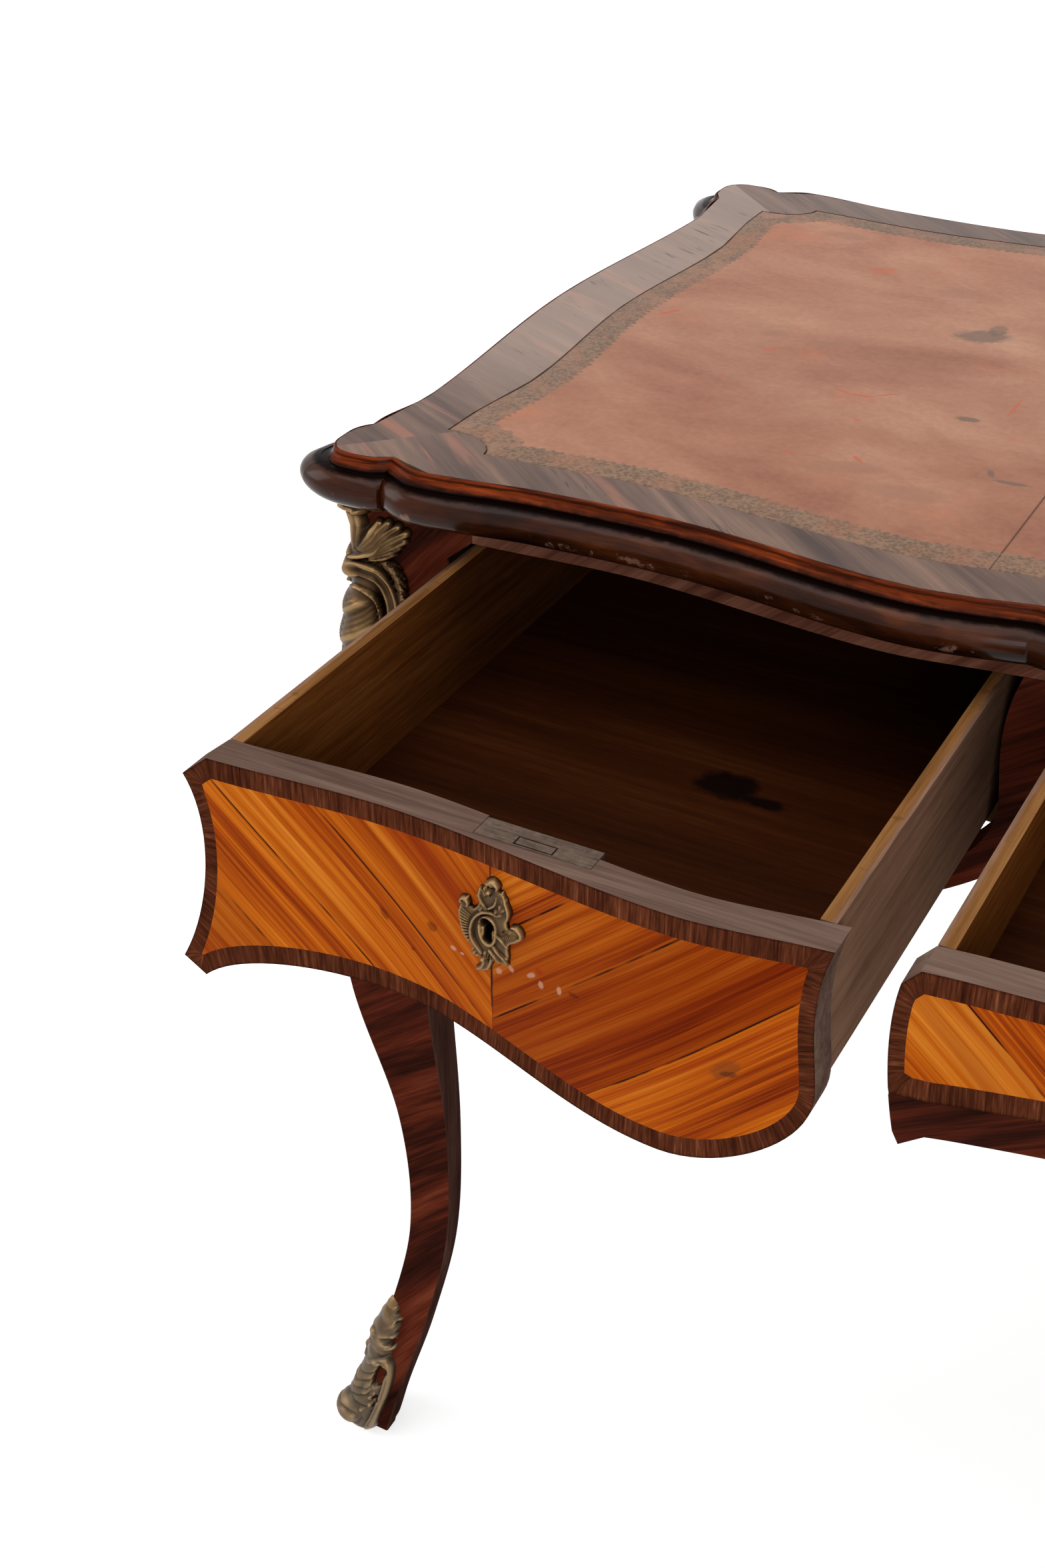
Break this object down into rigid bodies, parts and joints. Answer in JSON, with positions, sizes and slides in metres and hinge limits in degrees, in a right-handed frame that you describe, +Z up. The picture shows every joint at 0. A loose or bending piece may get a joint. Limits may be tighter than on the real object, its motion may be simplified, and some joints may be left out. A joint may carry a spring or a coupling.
{
  "type": "bureau plat",
  "caption": "Flat writing desk with a leather-lined moulded serpentine top, shaped frieze drawers that slide on runners, cabriole legs, bronze corner mounts and shoes.",
  "frame": {"origin": "floor, under the middle of the box round the desk as it stands with two drawers open", "axes": "+X to the right along the desk, -Y the front, where the drawers open, +Z up"},
  "size_m": [1.2628, 0.7759, 0.764],
  "materials": {
    "kingwood": "polished dark veneer",
    "tulipwood": "polished orange veneer",
    "moulding": "polished dark moulding",
    "leather": "worn, tooled border",
    "oak": "bare",
    "lining": "bare, aged",
    "bronze": "dulled gilding",
    "steel": "dull"
  },
  "bodies": {
    "case": {"apron_left": "kingwood", "apron_right": "kingwood", "back_panel": "kingwood", "chute_back_left": "bronze", "chute_back_right": "bronze", "chute_front_left": "bronze", "chute_front_right": "bronze", "divider_left": "kingwood", "divider_right": "kingwood", "edge_moulding_back": "moulding", "edge_moulding_front": "moulding", "edge_moulding_left": "moulding", "edge_moulding_right": "moulding", "end_panel_left": "kingwood", "end_panel_right": "kingwood", "front_rail": "kingwood", "leather_centre": "leather", "leather_left": "leather", "leather_right": "leather", "leg_back_left": "kingwood", "leg_back_right": "kingwood", "leg_front_left": "kingwood", "leg_front_right": "kingwood", "runner_centre_left": "oak", "runner_centre_right": "oak", "runner_inner_left": "oak", "runner_inner_right": "oak", "runner_outer_left": "oak", "runner_outer_right": "oak", "sabot_back_left": "bronze", "sabot_back_right": "bronze", "sabot_front_left": "bronze", "sabot_front_right": "bronze", "top_banding": "kingwood", "top_core": "oak"},
    "drawer_left": {"drawer_left_back": "lining", "drawer_left_bottom": "lining", "drawer_left_escutcheon": "bronze", "drawer_left_front": "tulipwood", "drawer_left_lock": "steel", "drawer_left_side_left": "lining", "drawer_left_side_right": "lining"},
    "bolt_left": {"drawer_left_bolt": "steel"},
    "drawer_centre": {"drawer_centre_back": "lining", "drawer_centre_bottom": "lining", "drawer_centre_escutcheon": "bronze", "drawer_centre_front": "tulipwood", "drawer_centre_lock": "steel", "drawer_centre_side_left": "lining", "drawer_centre_side_right": "lining"},
    "bolt_centre": {"drawer_centre_bolt": "steel"},
    "drawer_right": {"drawer_right_back": "lining", "drawer_right_bottom": "lining", "drawer_right_escutcheon": "bronze", "drawer_right_front": "tulipwood", "drawer_right_lock": "steel", "drawer_right_side_left": "lining", "drawer_right_side_right": "lining"},
    "bolt_right": {"drawer_right_bolt": "steel"}
  },
  "joints": [
    {"name": "slide_left", "type": "slide", "parent": "case", "child": "drawer_left", "axis": [0, -1, 0], "range_m": [-0.237, 0.08]},
    {"name": "lock_left", "type": "slide", "parent": "drawer_left", "child": "bolt_left", "axis": [0, 0, 1], "range_m": [0, 0.007]},
    {"name": "slide_centre", "type": "slide", "parent": "case", "child": "drawer_centre", "axis": [0, -1, 0], "range_m": [-0.237, 0.08]},
    {"name": "lock_centre", "type": "slide", "parent": "drawer_centre", "child": "bolt_centre", "axis": [0, 0, 1], "range_m": [0, 0.007]},
    {"name": "slide_right", "type": "slide", "parent": "case", "child": "drawer_right", "axis": [0, -1, 0], "range_m": [0, 0.317]},
    {"name": "lock_right", "type": "slide", "parent": "drawer_right", "child": "bolt_right", "axis": [0, 0, 1], "range_m": [0, 0.007]}
  ]
}
